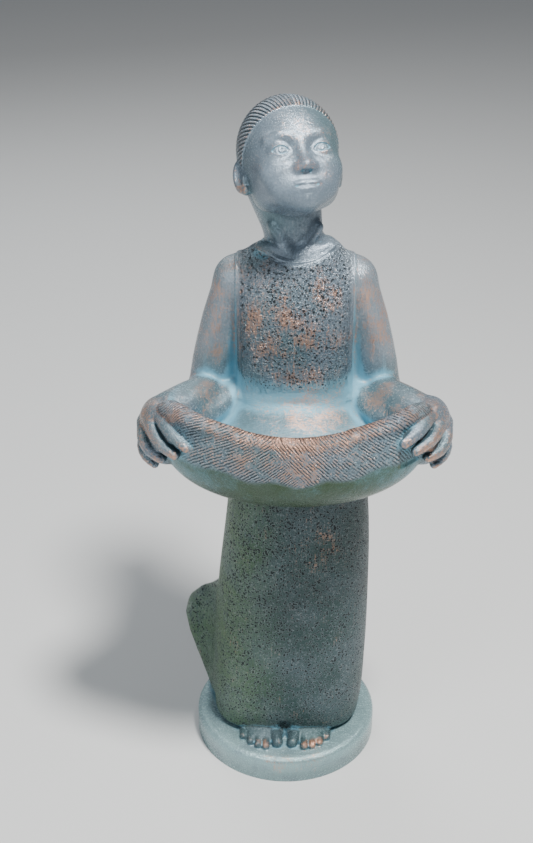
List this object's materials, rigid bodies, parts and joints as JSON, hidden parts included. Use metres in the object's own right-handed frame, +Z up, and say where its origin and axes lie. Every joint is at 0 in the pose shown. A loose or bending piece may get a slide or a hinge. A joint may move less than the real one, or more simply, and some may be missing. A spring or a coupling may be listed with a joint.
{
  "type": "girl statue birdbath",
  "caption": "Garden birdbath cast as a standing girl who looks up and holds out the front of her dress as a basin, on a low round base.",
  "frame": {"origin": "centre of the round base's flat underside", "axes": "+Z up, the girl faces -Y, +X is to a viewer's right who stands before her"},
  "size_m": [0.3563, 0.3009, 0.8488],
  "materials": {
    "copper_patina": "cast resin painted as weathered copper: blue-grey patina with copper rubbed through on raised places, semi-gloss"
  },
  "bodies": {
    "root": {"girl_statue": "copper_patina"}
  },
  "joints": []
}
